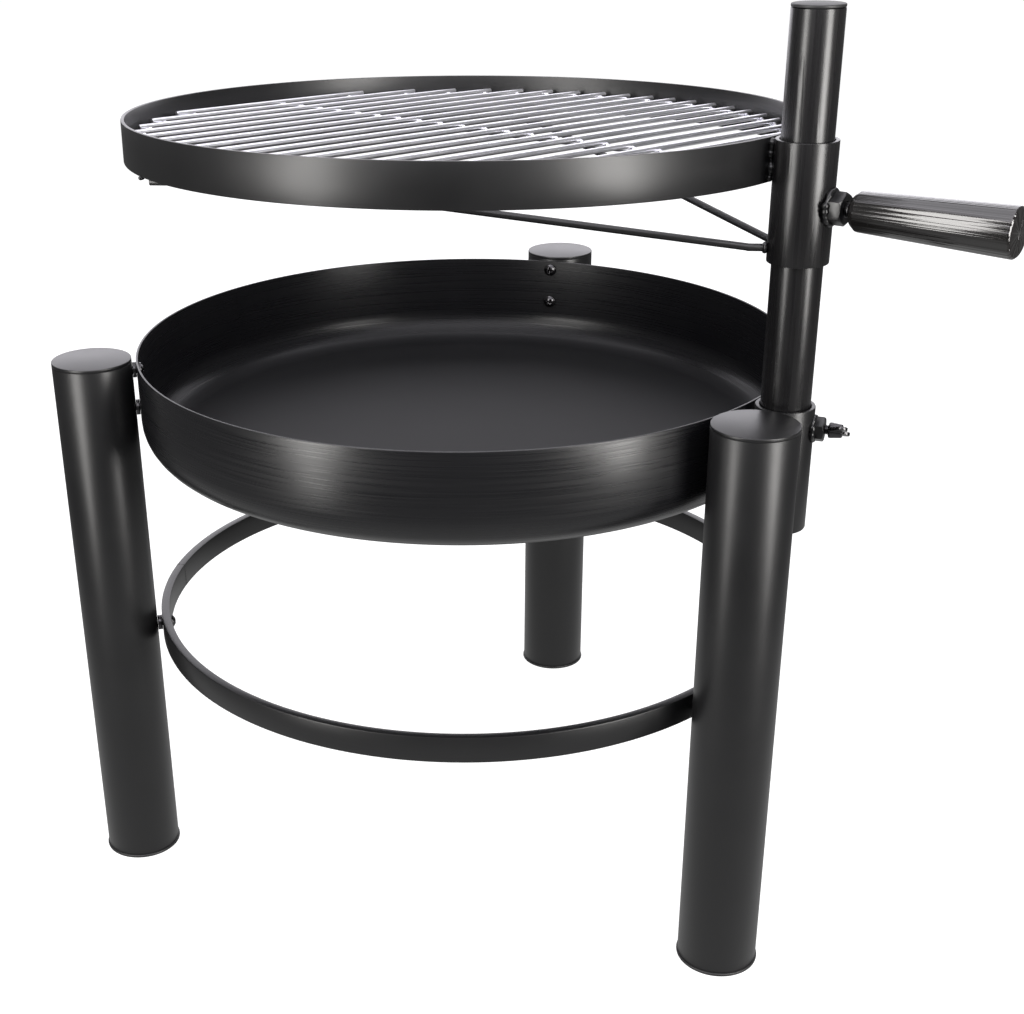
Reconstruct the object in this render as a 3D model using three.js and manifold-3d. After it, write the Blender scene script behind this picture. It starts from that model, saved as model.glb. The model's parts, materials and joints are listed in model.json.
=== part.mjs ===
// Fire pit with a swivel grate.
// Three steel tube legs carry a spun steel bowl and a ring that ties them together. A mast
// stands in a socket beside one leg. A collar slides and turns on the mast, and carries a hoop
// that holds a loose chrome cooking grid. Millimetres, +Z up, +X from the bowl to the mast.

import * as THREE from 'three';
import { mergeVertices } from 'three/addons/utils/BufferGeometryUtils.js';
import Module from 'manifold-3d';

const wasm = await Module();
wasm.setup();

// ---------------------------------------------------------------- driving dimensions

const GAP = 0.3;              // room left between pieces that touch
const HOOP_FACETS = 60;       // flat facets round the bowl, ring and hoop

// Bowl
const BOWL_R = 300;           // outside
const BOWL_SHEET = 2;
const BOWL_RIM_Z = 505;
const BOWL_FLOOR_Z = 417;     // underside of the flat floor
const BOWL_CORNER_R = 32;     // outside of the turn from wall to floor

// Legs
const LEG_R = 35;
const LEG_WALL = 3;
const LEG_TOP_Z = 508.5;
const LEG_CAP = 3;            // thickness of the welded top plate
const LEG_BESIDE_MAST = -10.3; // degrees round from the mast to the nearest leg
const FOOT_R = 36.2;          // flange of the foot plug
const FOOT_FLANGE = 3;
const FOOT_PLUG = 22;         // depth of the plug in the tube

// Lower ring
const RING_R = 299;           // outside
const RING_BAR = 8;
const RING_Z = 231;           // underside
const RING_HEIGHT = 24;

// Fixings: M6 pan head screws through round spacers
const SPACER_R = 7;
const BOWL_SPACER = 3.5;      // from bowl wall to leg
const MAST_SPACER = 3;        // from bowl wall to mast socket
const SCREW_R = 3;
const SCREW_HOLE_R = 3.4;
const HEAD_R = 6.3;
const HEAD_HEIGHT = 4;
const BOWL_SCREW_Z = [461, 496];
const SOCKET_SCREW_Z = [457, 487];

// Mast, and the two tubes that slide on it
const MAST_R = 20;
const MAST_WALL = 2.5;
const MAST_TOP_Z = 812;
const SLEEVE_R = 24;          // outside of socket and collar
const SLEEVE_BORE_R = 20.8;
const SOCKET_Z = [402, 507];
const SOCKET_FLOOR = 4;
const COLLAR_Z = [623, 716];
const PLUG_FLANGE = 2.5;
const PLUG_DEPTH = 18;

// Grate hoop and cooking grid
const HOOP_R = 289;           // outside
const HOOP_BAR = 3;
const HOOP_HEIGHT = 34;
const HOOP_Z = 678.4;         // underside at the hoop's centre
const HOOP_COLLAR_GAP = 0.8;
const ARM_SWING = 3.3;        // degrees, the arm's turn on the mast from the bowl's centre line
const ARM_DROOP = 0.73;       // degrees, the hoop's far side hangs low by this slope
const ARM_LEAN = 1.8;         // degrees, the hoop's sideways slope
const GRID_R = 279.5;         // to the cut rod ends
const GRID_ROD_R = 2.25;
const GRID_RODS = 20;
const GRID_PITCH = 26.8;
const GRID_TURN = 80.5;       // degrees, rods against the arm
const GRID_ROD_Z = 20;        // rod centres above the hoop's underside
const GRID_WIRE_R = 2.5;      // rim wire and cross bar
const GRID_RIM_R = 272;
const GRID_BAR_OFFSET = 12;
const WELD_SINK = 0.8;        // how far crossed wires melt into each other
const LUG = { length: 26, width: 14, thick: 3 };
const LUG_ANGLES = [40, 130, 220, 310];

// Brace rods from the hoop's underside to the collar
const BRACE_R = 3;
const BRACE_SPREAD = 29.9;    // degrees, each rod from the arm's centre line
const BRACE_LENGTH = 513;     // from the mast axis to the rod's far end
const BRACE_BEND = 430;       // from the mast axis to the upper bend
const BRACE_FOOT = 40;        // from the mast axis to the lower bend
const BRACE_COLLAR_GAP = 1.6; // from the collar to the lower end, filled by the weld
const BRACE_DROP = 48.5;      // how far the lower end is under the hoop

// Clamp on the collar: welded nut, stud and grip
const CLAMP_Z = 667.5;
const CLAMP_TURN = -4;        // degrees, clamp against the arm
const STUD_R = 6;
const STUD_HOLE_R = 6.4;
const CLAMP_NUT = { acrossCorners: 26, height: 12.5 };
const GRIP_START = 43;        // from the mast axis
const GRIP_LENGTH = 125;
const GRIP_NEAR_R = 15.3;
const GRIP_FAR_R = 18.8;
const GRIP_BORE_DEPTH = 34;

// Wing screw on the socket
const WING_Z = 489;
const WING_TURN = 17.8;       // degrees, wing screw against the bowl's centre line
const WING_STUD_R = 4;
const WING_HOLE_R = 4.4;
const WING_NUT = { acrossCorners: 21, height: 8.5 };
const WING_HUB = { radius: 6.5, start: 36, length: 11 };
const WING_SPAN = 34;
const WING_THICK = 3;
const WING_ROLL = 62;         // degrees, the wings' turn about the screw

// ---------------------------------------------------------------- worked-out dimensions

const rad = THREE.MathUtils.degToRad;
const LEG_CIRCLE_R = BOWL_R + BOWL_SPACER + LEG_R;
const RING_SPACER = LEG_CIRCLE_R - LEG_R - RING_R;
const MAST_X = BOWL_R + MAST_SPACER + SLEEVE_R;
const HOOP_REACH = HOOP_R + SLEEVE_R + HOOP_COLLAR_GAP;
const FACET_DIP = BOWL_R * (1 - Math.cos(Math.PI / HOOP_FACETS));

// ---------------------------------------------------------------- finishes

const finish = (color, roughness, metalness) =>
  new THREE.MeshStandardMaterial({ color, roughness, metalness });
const satinBlack = finish(0x2d2c2e, 0.45, 0.3);
const glossBlack = finish(0x232224, 0.3, 0.3);
const bowlBlack = finish(0x2e2d31, 0.55, 0.2);
const blackPlastic = finish(0x3a393c, 0.5, 0);
const blackSteel = finish(0x1d1d1e, 0.4, 0.6);
const chromePlate = finish(0xe4e4e8, 0.15, 1);
const blackWood = finish(0x1a191a, 0.25, 0);

// ---------------------------------------------------------------- shape helpers

// A closed profile of [radius, height] points, turned round the Z axis.
function turned(profile, segments = 36) {
  const points = profile.map(([r, z]) => new THREE.Vector2(r, z));
  return new THREE.LatheGeometry(points, segments).rotateX(Math.PI / 2);
}

function tube(outer, inner, low, high, segments = 36) {
  return turned([[inner, low], [outer, low], [outer, high], [inner, high], [inner, low]], segments);
}

function disc(radius, low, high, segments = 36) {
  return turned([[0, low], [radius, low], [radius, high], [0, high]], segments);
}

// A plug: a flange outside the tube's end and a spigot inside it, the flange at height 0.
function plug(flangeR, flange, spigotR, depth) {
  return turned([
    [0, 0], [flangeR, 0], [flangeR, flange], [spigotR, flange], [spigotR, flange + depth],
    [0, flange + depth],
  ], 24);
}

// Geometry made along +Z is laid along +X.
const alongX = (geometry) => geometry.rotateY(Math.PI / 2);

function toManifold(geometry) {
  const bare = geometry.clone();
  bare.deleteAttribute('normal');
  bare.deleteAttribute('uv');
  const merged = mergeVertices(bare, 1e-4);
  return new wasm.Manifold(new wasm.Mesh({
    numProp: 3,
    vertProperties: new Float32Array(merged.attributes.position.array),
    triVerts: new Uint32Array(merged.index.array),
  }));
}

function fromManifold(manifold) {
  const mesh = manifold.getMesh();
  const geometry = new THREE.BufferGeometry();
  geometry.setAttribute('position', new THREE.BufferAttribute(mesh.vertProperties, 3));
  geometry.setIndex(new THREE.BufferAttribute(mesh.triVerts, 1));
  geometry.computeVertexNormals();
  return geometry;
}

function cut(geometry, tools) {
  const start = toManifold(geometry);
  return fromManifold(tools.reduce((body, tool) => body.subtract(toManifold(tool)), start));
}

function join(geometries) {
  const [first, ...rest] = geometries.map(toManifold);
  return fromManifold(rest.reduce((body, piece) => body.add(piece), first));
}

// A round hole tool from x = from to x = to at a height, turned to an angle round Z.
function drill(radius, from, to, height, angle = 0) {
  return alongX(disc(radius, from, to, 16)).translate(0, 0, height).rotateZ(rad(angle));
}

function hexNut(acrossCorners, height, holeR) {
  const outline = new THREE.Shape();
  for (let i = 0; i < 6; i++) {
    const a = i * Math.PI / 3;
    const x = acrossCorners / 2 * Math.cos(a);
    const y = acrossCorners / 2 * Math.sin(a);
    if (i === 0) outline.moveTo(x, y);
    else outline.lineTo(x, y);
  }
  outline.closePath();
  outline.holes.push(new THREE.Path().absarc(0, 0, holeR, 0, 2 * Math.PI, true));
  return new THREE.ExtrudeGeometry(outline, { depth: height, bevelEnabled: false, curveSegments: 12 });
}

// A pan head screw along +X: the head's flat side at x = 0, its dome towards -X.
function panHeadScrew(length) {
  return alongX(turned([
    [0, -HEAD_HEIGHT], [HEAD_R * 0.6, -HEAD_HEIGHT * 0.9], [HEAD_R, -HEAD_HEIGHT * 0.4], [HEAD_R, 0],
    [SCREW_R, 0], [SCREW_R, length], [0, length],
  ], 12));
}

// A round bar along a path of straight runs.
function bar(points, radius, steps) {
  const path = new THREE.CurvePath();
  points.slice(1).forEach((end, i) => path.add(new THREE.LineCurve3(points[i], end)));
  const section = new THREE.Shape().absarc(0, 0, radius, 0, 2 * Math.PI);
  return new THREE.ExtrudeGeometry(section, { steps, extrudePath: path, curveSegments: 4 });
}

const pit = new THREE.Group();

function piece(name, geometry, material, parent) {
  const mesh = new THREE.Mesh(geometry, material);
  mesh.name = name;
  parent.add(mesh);
  return mesh;
}

// A group on the circle round the bowl's axis, with its own +X pointing away from that axis.
function station(angle, parent = pit) {
  const group = new THREE.Group();
  group.rotation.z = rad(angle);
  parent.add(group);
  return group;
}

// ---------------------------------------------------------------- legs

const LEGS = [
  { name: 'mast_leg', angle: LEG_BESIDE_MAST },
  { name: 'back_leg', angle: LEG_BESIDE_MAST + 120 },
  { name: 'left_leg', angle: LEG_BESIDE_MAST + 240 },
];
const RING_SCREW_Z = RING_Z + RING_HEIGHT / 2;

function screwWithSpacer(name, group, innerFace, outerFace, spacer, height, reach) {
  const screw = panHeadScrew(reach).translate(innerFace - FACET_DIP - GAP, 0, height);
  piece(`${name}_screw`, screw, blackSteel, group);
  const sleeve = alongX(tube(SPACER_R, SCREW_HOLE_R, outerFace + GAP / 2, outerFace + spacer - GAP / 2, 16));
  piece(`${name}_spacer`, sleeve.translate(0, 0, height), blackSteel, group);
}

for (const { name, angle } of LEGS) {
  const group = station(angle);
  const tubeEnd = LEG_TOP_Z - LEG_CAP;
  const holes = [...BOWL_SCREW_Z, RING_SCREW_Z].map((z) => drill(SCREW_HOLE_R, -LEG_R - 5, 0, z));
  const legTube = cut(tube(LEG_R, LEG_R - LEG_WALL, FOOT_FLANGE + GAP, tubeEnd - GAP), holes);
  piece(`${name}_tube`, legTube.translate(LEG_CIRCLE_R, 0, 0), satinBlack, group);
  piece(`${name}_top_cap`, disc(LEG_R, tubeEnd, LEG_TOP_Z).translate(LEG_CIRCLE_R, 0, 0), satinBlack, group);
  const foot = plug(FOOT_R, FOOT_FLANGE, LEG_R - LEG_WALL - GAP, FOOT_PLUG);
  piece(`${name}_foot_plug`, foot.translate(LEG_CIRCLE_R, 0, 0), blackPlastic, group);

  const wallStack = BOWL_SHEET + BOWL_SPACER + LEG_WALL + 4;
  BOWL_SCREW_Z.forEach((z, i) => screwWithSpacer(
    `${name}_bowl_${['lower', 'upper'][i]}`, group, BOWL_R - BOWL_SHEET, BOWL_R, BOWL_SPACER, z, wallStack));
  const ringStack = RING_BAR + RING_SPACER + LEG_WALL + 4;
  screwWithSpacer(`${name}_ring`, group, RING_R - RING_BAR, RING_R, RING_SPACER, RING_SCREW_Z, ringStack);
}

// ---------------------------------------------------------------- bowl and lower ring

// The quarter turn from floor to wall, as [radius, height] points about one centre.
function cornerArc(radius, steps = 4) {
  const centreR = BOWL_R - BOWL_CORNER_R;
  const centreZ = BOWL_FLOOR_Z + BOWL_CORNER_R;
  return Array.from({ length: steps + 1 }, (_, i) => {
    const a = -Math.PI / 2 + i / steps * Math.PI / 2;
    return [centreR + radius * Math.cos(a), centreZ + radius * Math.sin(a)];
  });
}

const bowlProfile = [
  [0, BOWL_FLOOR_Z], ...cornerArc(BOWL_CORNER_R), [BOWL_R, BOWL_RIM_Z],
  [BOWL_R - BOWL_SHEET, BOWL_RIM_Z], ...cornerArc(BOWL_CORNER_R - BOWL_SHEET).reverse(),
  [0, BOWL_FLOOR_Z + BOWL_SHEET],
];
const wallDrill = (z, angle) => drill(SCREW_HOLE_R, BOWL_R - 10, BOWL_R + 5, z, angle);
const bowlHoles = [
  ...LEGS.flatMap(({ angle }) => BOWL_SCREW_Z.map((z) => wallDrill(z, angle))),
  ...SOCKET_SCREW_Z.map((z) => wallDrill(z, 0)),
];
piece('fire_bowl', cut(turned(bowlProfile, HOOP_FACETS), bowlHoles), bowlBlack, pit);

const ringHoles = LEGS.map(({ angle }) => drill(SCREW_HOLE_R, RING_R - 15, RING_R + 5, RING_SCREW_Z, angle));
const ringHoop = tube(RING_R, RING_R - RING_BAR, RING_Z, RING_Z + RING_HEIGHT, HOOP_FACETS);
piece('lower_ring', cut(ringHoop, ringHoles), satinBlack, pit);

// ---------------------------------------------------------------- mast socket and wing screw

const socket = new THREE.Group();
socket.position.x = MAST_X;
pit.add(socket);

const socketHoles = [
  ...SOCKET_SCREW_Z.map((z) => drill(SCREW_HOLE_R, -SLEEVE_R - 2, -SLEEVE_BORE_R + 2, z)),
  drill(WING_HOLE_R, SLEEVE_BORE_R - 2, SLEEVE_R + 2, WING_Z, WING_TURN),
];
const socketTube = tube(SLEEVE_R, SLEEVE_BORE_R, ...SOCKET_Z);
piece('mast_socket_tube', cut(socketTube, socketHoles), satinBlack, socket);
const socketFloor = disc(SLEEVE_BORE_R - GAP, SOCKET_Z[0], SOCKET_Z[0] + SOCKET_FLOOR);
piece('mast_socket_floor', socketFloor, satinBlack, socket);
SOCKET_SCREW_Z.forEach((z, i) => screwWithSpacer(
  `mast_socket_${['lower', 'upper'][i]}`, station(0), BOWL_R - BOWL_SHEET, BOWL_R, MAST_SPACER, z,
  BOWL_SHEET + MAST_SPACER + (SLEEVE_R - SLEEVE_BORE_R) - GAP));

const wing = station(WING_TURN, socket);
wing.position.z = WING_Z;
const wingNut = alongX(hexNut(WING_NUT.acrossCorners, WING_NUT.height, WING_HOLE_R));
piece('wing_boss_nut', wingNut.translate(SLEEVE_R + GAP, 0, 0), satinBlack, wing);
const hubEnd = WING_HUB.start + WING_HUB.length;
piece('wing_stud', alongX(disc(WING_STUD_R, MAST_R + GAP, hubEnd - 3, 16)), blackSteel, wing);

// One wing: a rounded ear that grows out of the hub, drawn in the plane of screw axis and span.
function wingEar(side) {
  const root = WING_HUB.start + 1;
  const ear = new THREE.Shape();
  ear.moveTo(root, 0);
  ear.quadraticCurveTo(root + 3, side * WING_SPAN * 0.3, root + 7, side * WING_SPAN / 2);
  ear.quadraticCurveTo(hubEnd + 6, side * WING_SPAN / 2, hubEnd + 5, side * WING_SPAN * 0.36);
  ear.quadraticCurveTo(hubEnd + 1, side * WING_SPAN * 0.25, hubEnd - 1, 0);
  ear.closePath();
  return new THREE.ExtrudeGeometry(ear, { depth: WING_THICK, bevelEnabled: false, curveSegments: 5 })
    .translate(0, 0, -WING_THICK / 2);
}
const wingHub = alongX(turned([
  [0, WING_HUB.start], [WING_HUB.radius, WING_HUB.start], [WING_HUB.radius - 1, hubEnd], [0, hubEnd],
], 16));
const studBore = alongX(disc(WING_HOLE_R, WING_HUB.start - 1, hubEnd - 3 + GAP, 16));
const wingHead = cut(join([wingHub, wingEar(1), wingEar(-1)]), [studBore]);
piece('wing_head', wingHead.rotateX(rad(WING_ROLL)), blackSteel, wing);

// ---------------------------------------------------------------- mast

const mast = new THREE.Group();
mast.position.x = MAST_X;
pit.add(mast);

const mastFoot = SOCKET_Z[0] + SOCKET_FLOOR + GAP;
const mastSpigotR = MAST_R - MAST_WALL - GAP;
const bottomPlug = plug(MAST_R, PLUG_FLANGE, mastSpigotR, PLUG_DEPTH).translate(0, 0, mastFoot);
piece('mast_bottom_plug', bottomPlug, blackPlastic, mast);
const mastBottom = mastFoot + PLUG_FLANGE + GAP;
const mastEnd = MAST_TOP_Z - PLUG_FLANGE - GAP;
piece('mast_tube', tube(MAST_R, MAST_R - MAST_WALL, mastBottom, mastEnd), glossBlack, mast);
const topPlug = plug(MAST_R, PLUG_FLANGE, mastSpigotR, PLUG_DEPTH).rotateX(Math.PI);
piece('mast_top_plug', topPlug.translate(0, 0, MAST_TOP_Z), blackPlastic, mast);

// ---------------------------------------------------------------- collar and clamp

const arm = station(ARM_SWING, mast);

const clamp = station(CLAMP_TURN, arm);
clamp.position.z = CLAMP_Z;
const collarHole = drill(STUD_HOLE_R, SLEEVE_BORE_R - 2, SLEEVE_R + 2, CLAMP_Z, CLAMP_TURN);
piece('collar_tube', cut(tube(SLEEVE_R, SLEEVE_BORE_R, ...COLLAR_Z), [collarHole]), glossBlack, arm);
const clampNut = alongX(hexNut(CLAMP_NUT.acrossCorners, CLAMP_NUT.height, STUD_HOLE_R));
piece('collar_nut', clampNut.translate(SLEEVE_R + GAP, 0, 0), satinBlack, clamp);
const studEnd = GRIP_START + GRIP_BORE_DEPTH - GAP;
piece('clamp_stud', alongX(disc(STUD_R, MAST_R + GAP, studEnd, 24)), blackSteel, clamp);

// The grip: rounded shoulders, a straight taper that is thickest at the free end, a blind bore.
const gripEnd = GRIP_START + GRIP_LENGTH;
const gripProfile = [
  [STUD_HOLE_R, GRIP_START], [GRIP_NEAR_R - 4, GRIP_START], [GRIP_NEAR_R - 1, GRIP_START + 1.5],
  [GRIP_NEAR_R, GRIP_START + 5], [GRIP_FAR_R, gripEnd - 2], [GRIP_FAR_R - 1.5, gripEnd], [0, gripEnd],
  [0, GRIP_START + GRIP_BORE_DEPTH], [STUD_HOLE_R, GRIP_START + GRIP_BORE_DEPTH], [STUD_HOLE_R, GRIP_START],
];
piece('grip', alongX(turned(gripProfile, 24)), blackWood, clamp);

// ---------------------------------------------------------------- grate hoop, braces and grid

const grate = new THREE.Group();
grate.position.set(-HOOP_REACH, 0, HOOP_Z);
grate.rotation.set(rad(-ARM_LEAN), rad(-ARM_DROOP), 0, 'ZYX');
arm.add(grate);

piece('grate_hoop', tube(HOOP_R, HOOP_R - HOOP_BAR, 0, HOOP_HEIGHT, HOOP_FACETS), satinBlack, grate);

for (const [name, side] of [['brace_left', 1], ['brace_right', -1]]) {
  const spread = rad(BRACE_SPREAD) * side;
  const at = (distance, z) => new THREE.Vector3(
    HOOP_REACH - distance * Math.cos(spread), distance * Math.sin(spread), z);
  const top = -BRACE_R - GAP;
  const points = [
    at(SLEEVE_R + BRACE_COLLAR_GAP, -BRACE_DROP), at(BRACE_FOOT, -BRACE_DROP),
    at(BRACE_BEND, top), at(BRACE_LENGTH, top),
  ];
  piece(name, bar(points, BRACE_R, 24), satinBlack, grate);
}

const rimZ = GRID_ROD_Z - GRID_ROD_R - GRID_WIRE_R + WELD_SINK;
const lugTop = rimZ - GRID_WIRE_R - GAP;
LUG_ANGLES.forEach((angle, i) => {
  const lug = new THREE.BoxGeometry(LUG.length, LUG.width, LUG.thick);
  const lugX = HOOP_R - HOOP_BAR - 2 * GAP - LUG.length / 2;
  lug.translate(lugX, 0, lugTop - LUG.thick / 2).rotateZ(rad(angle));
  piece(`grid_rest_lug_${i + 1}`, lug, satinBlack, grate);
});

// The grid is one welded piece: parallel rods laid across a rim wire and one cross bar.
const wires = Array.from({ length: GRID_RODS }, (_, i) => {
  const offset = (i - (GRID_RODS - 1) / 2) * GRID_PITCH;
  const half = Math.sqrt(GRID_R ** 2 - offset ** 2);
  return alongX(disc(GRID_ROD_R, -half, half, 6)).translate(0, offset, GRID_ROD_Z);
});
const rimWire = new THREE.TorusGeometry(GRID_RIM_R, GRID_WIRE_R, 6, HOOP_FACETS).translate(0, 0, rimZ);
const barHalf = Math.sqrt(GRID_RIM_R ** 2 - GRID_BAR_OFFSET ** 2);
const crossBar = alongX(disc(GRID_WIRE_R, -barHalf, barHalf, 6)).rotateZ(Math.PI / 2)
  .translate(GRID_BAR_OFFSET, 0, rimZ);
const grid = join([rimWire, crossBar, ...wires]).rotateZ(rad(GRID_TURN));
piece('cooking_grid', grid, chromePlate, grate);

// ---------------------------------------------------------------- whole object

// The origin goes on the ground under the middle of the object's box.
const box = new THREE.Box3().setFromObject(pit, true);
const centre = box.getCenter(new THREE.Vector3());
const fire_pit = new THREE.Group();
pit.position.set(-centre.x, -centre.y, -box.min.z);
fire_pit.add(pit);

export default fire_pit;
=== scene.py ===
# %% [markdown]
# # Fire pit with a swivel grate
# A spun steel bowl hangs between three thick tube legs that a low ring ties together. A mast stands
# in a socket beside one leg, and a collar on the mast carries a hoop with a loose chrome grid.
# The imported CAD model gives every size and place. This lesson models each piece again as the round,
# welded and painted thing that it is, and leaves the CAD pieces hidden behind the new ones.
# The first step loads that frame.

# %% Load the frame
import json
import math
import random

import bmesh
import bpy
from mathutils import Matrix, Vector


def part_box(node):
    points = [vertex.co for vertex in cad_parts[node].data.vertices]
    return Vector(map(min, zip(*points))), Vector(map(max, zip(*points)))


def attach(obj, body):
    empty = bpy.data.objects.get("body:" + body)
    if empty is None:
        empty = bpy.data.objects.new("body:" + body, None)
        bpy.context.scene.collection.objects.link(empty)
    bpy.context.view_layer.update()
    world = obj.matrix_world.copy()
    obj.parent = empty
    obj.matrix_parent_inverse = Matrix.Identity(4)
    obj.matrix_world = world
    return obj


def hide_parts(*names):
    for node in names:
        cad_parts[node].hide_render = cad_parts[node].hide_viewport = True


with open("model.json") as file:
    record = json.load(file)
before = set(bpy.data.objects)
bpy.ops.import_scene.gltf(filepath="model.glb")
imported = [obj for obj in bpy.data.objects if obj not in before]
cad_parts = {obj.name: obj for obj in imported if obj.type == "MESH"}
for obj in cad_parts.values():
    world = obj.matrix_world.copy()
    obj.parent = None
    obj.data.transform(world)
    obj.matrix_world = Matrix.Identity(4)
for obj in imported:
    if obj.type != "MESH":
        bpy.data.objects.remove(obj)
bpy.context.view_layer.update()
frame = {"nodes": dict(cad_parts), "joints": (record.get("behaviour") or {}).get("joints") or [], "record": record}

MM = 0.001
UP = Vector((0, 0, 1))
behaviour = frame["record"]["behaviour"]
body_with = {node: body for body, nodes in behaviour["bodies"].items() for node in nodes}
axis_of = {joint["name"]: Vector(joint["axis"]).normalized() for joint in frame["joints"]}

# %% [markdown]
# ## Where things are
# Nothing is placed by eye. A CAD node's box gives its middle, and the reach of its corners along an
# axis says where a screw starts or a spacer ends, even when the piece stands at an odd angle.

# %% Measuring the frame


def middle(node):
    low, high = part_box(node)
    return (low + high) / 2


def heights(node):
    """Lowest and highest point of a node, in millimetres."""
    low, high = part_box(node)
    return low.z / MM, high.z / MM


def radius(node):
    low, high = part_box(node)
    return (high.x - low.x) / 2 / MM


def reach(node, origin, axis):
    """How far a node reaches along an axis from an origin, in millimetres, as (nearest, farthest)."""
    along = [(vertex.co - origin).dot(axis) / MM for vertex in frame["nodes"][node].data.vertices]
    return min(along), max(along)


def level(vector):
    return Vector((vector.x, vector.y, 0))


bowl_axis = level(middle("fire_bowl"))
mast_axis = level(middle("mast_tube"))
for axis_name, axis_at in (("bowl axis", bowl_axis), ("mast axis", mast_axis)):
    print(axis_name, "stands at", [round(v / MM, 1) for v in axis_at.xy], "mm")

# %% [markdown]
# ## Camera
# The camera looks down on the pit from a little above the grate, so the legs seem to splay. It is
# a normal lens from about a metre and a half. The picture is not centred on the lens axis, which a
# small shift of the sensor gives without any turn of the upright lines.

# %% Camera
CAMERA_AT = Vector((0.7664, -1.1305, 0.9222))
HEADING = -38.91
TILT = -25.0
ROLL = -0.78
LENS = 55.08
SENSOR = 36.0
SENSOR_SHIFT = (0.0669, 0.0617)


def camera_turn(heading, tilt, roll):
    """The camera's axes from its heading (clockwise from +Y), tilt and roll in degrees."""
    heading, tilt, roll = (math.radians(a) for a in (heading, tilt, roll))
    ahead = Vector((math.sin(heading), math.cos(heading), 0))
    forward = ahead * math.cos(tilt) + UP * math.sin(tilt)
    flat = Vector((math.cos(heading), -math.sin(heading), 0))
    above = flat.cross(forward)
    right = math.cos(roll) * flat + math.sin(roll) * above
    top = math.cos(roll) * above - math.sin(roll) * flat
    return Matrix((right, top, -forward)).transposed()


camera = bpy.data.objects.new("camera", bpy.data.cameras.new("camera"))
bpy.context.scene.collection.objects.link(camera)
bpy.context.scene.camera = camera
camera.matrix_world = Matrix.Translation(CAMERA_AT) @ camera_turn(HEADING, TILT, ROLL).to_4x4()
camera.data.lens = LENS
camera.data.sensor_width = SENSOR
camera.data.shift_x, camera.data.shift_y = SENSOR_SHIFT
print("camera is", round((CAMERA_AT - bowl_axis).length, 2), "m from the bowl's foot point")

# %% [markdown]
# ## Hand tools
# Every piece starts as a primitive that is added with nothing else selected, and is then shaped in
# edit mode. Four small tools do what hands would do over and over: begin, pick, bevel, put in place.

# %% Beginning and picking


def only(piece):
    """Selects one piece and nothing else."""
    bpy.ops.object.select_all(action="DESELECT")
    piece.select_set(True)
    bpy.context.view_layer.objects.active = piece


def leave_edit():
    bpy.ops.object.mode_set(mode="OBJECT")


def begin(kind, name, **size):
    """Adds a primitive with its place in its mesh, and opens it in edit mode with all selected."""
    bpy.ops.object.select_all(action="DESELECT")
    getattr(bpy.ops.mesh, f"primitive_{kind}_add")(**size)
    piece = bpy.context.object
    piece.name = piece.data.name = name
    bpy.ops.object.transform_apply(location=True, rotation=True, scale=True)
    bpy.ops.object.mode_set(mode="EDIT")
    bpy.ops.mesh.select_mode(type="VERT")
    bpy.ops.mesh.select_all(action="SELECT")
    return piece


def pick(piece, mode, test):
    """Selects the vertices, edges or faces that pass a test, and counts them."""
    bpy.ops.mesh.select_mode(type=mode)
    bpy.ops.mesh.select_all(action="DESELECT")
    mesh = bmesh.from_edit_mesh(piece.data)
    items = {"VERT": mesh.verts, "EDGE": mesh.edges, "FACE": mesh.faces}[mode]
    found = [item for item in items if test(item)]
    for item in found:
        item.select_set(True)
    mesh.select_flush_mode()
    bmesh.update_edit_mesh(piece.data)
    return len(found)


def close(merge=0.001):
    """Merges doubles, turns the faces out and leaves edit mode. The merge distance is in millimetres."""
    bpy.ops.mesh.select_all(action="SELECT")
    bpy.ops.mesh.remove_doubles(threshold=merge * MM)
    bpy.ops.mesh.normals_make_consistent(inside=False)
    leave_edit()


# %% [markdown]
# Modifiers are applied at once, so that what is handed over is plain mesh. A bevel with an angle
# limit breaks every sharp edge, because no sheared, sawn or painted edge on the real pit is sharp.

# %% Modifiers and places


def modify(piece, kind, **settings):
    only(piece)
    modifier = piece.modifiers.new(kind.lower(), kind)
    for key, value in settings.items():
        setattr(modifier, key, value)
    bpy.ops.object.modifier_apply(modifier=modifier.name)
    return piece


def soften(piece, width, segments=2, angle=35):
    """Rounds each edge that is sharper than the angle. The width is in millimetres."""
    return modify(piece, "BEVEL", width=width * MM, segments=segments, limit_method="ANGLE",
                  angle_limit=math.radians(angle), harden_normals=False)


def carve(piece, tool, operation="DIFFERENCE"):
    modify(piece, "BOOLEAN", object=tool, operation=operation, solver="EXACT")
    bpy.data.objects.remove(tool)
    return piece


def put(piece, matrix):
    """Moves a piece that was modelled round the origin to its place, and keeps the place in its mesh."""
    piece.matrix_world = matrix
    only(piece)
    bpy.ops.object.transform_apply(location=True, rotation=True, scale=True)
    return piece


def twin(piece, name):
    copy = piece.copy()
    copy.data = piece.data.copy()
    copy.name = copy.data.name = name
    bpy.context.scene.collection.objects.link(copy)
    return copy


def merged(name, pieces):
    bpy.ops.object.select_all(action="DESELECT")
    for piece in pieces:
        piece.select_set(True)
    bpy.context.view_layer.objects.active = pieces[0]
    if len(pieces) > 1:
        bpy.ops.object.join()
    pieces[0].name = pieces[0].data.name = name
    return pieces[0]


def pointing(origin, axis):
    """A place whose own Z points along an axis."""
    return Matrix.Translation(origin) @ axis.to_track_quat("Z", "Y").to_matrix().to_4x4()


# %% [markdown]
# A turned piece is drawn as half of its section, point by point, and spun round the Z axis. This is
# how the bowl itself was made, and it gives tubes, plugs, spacers, screws and the grip as well.

# %% Turning


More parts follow.
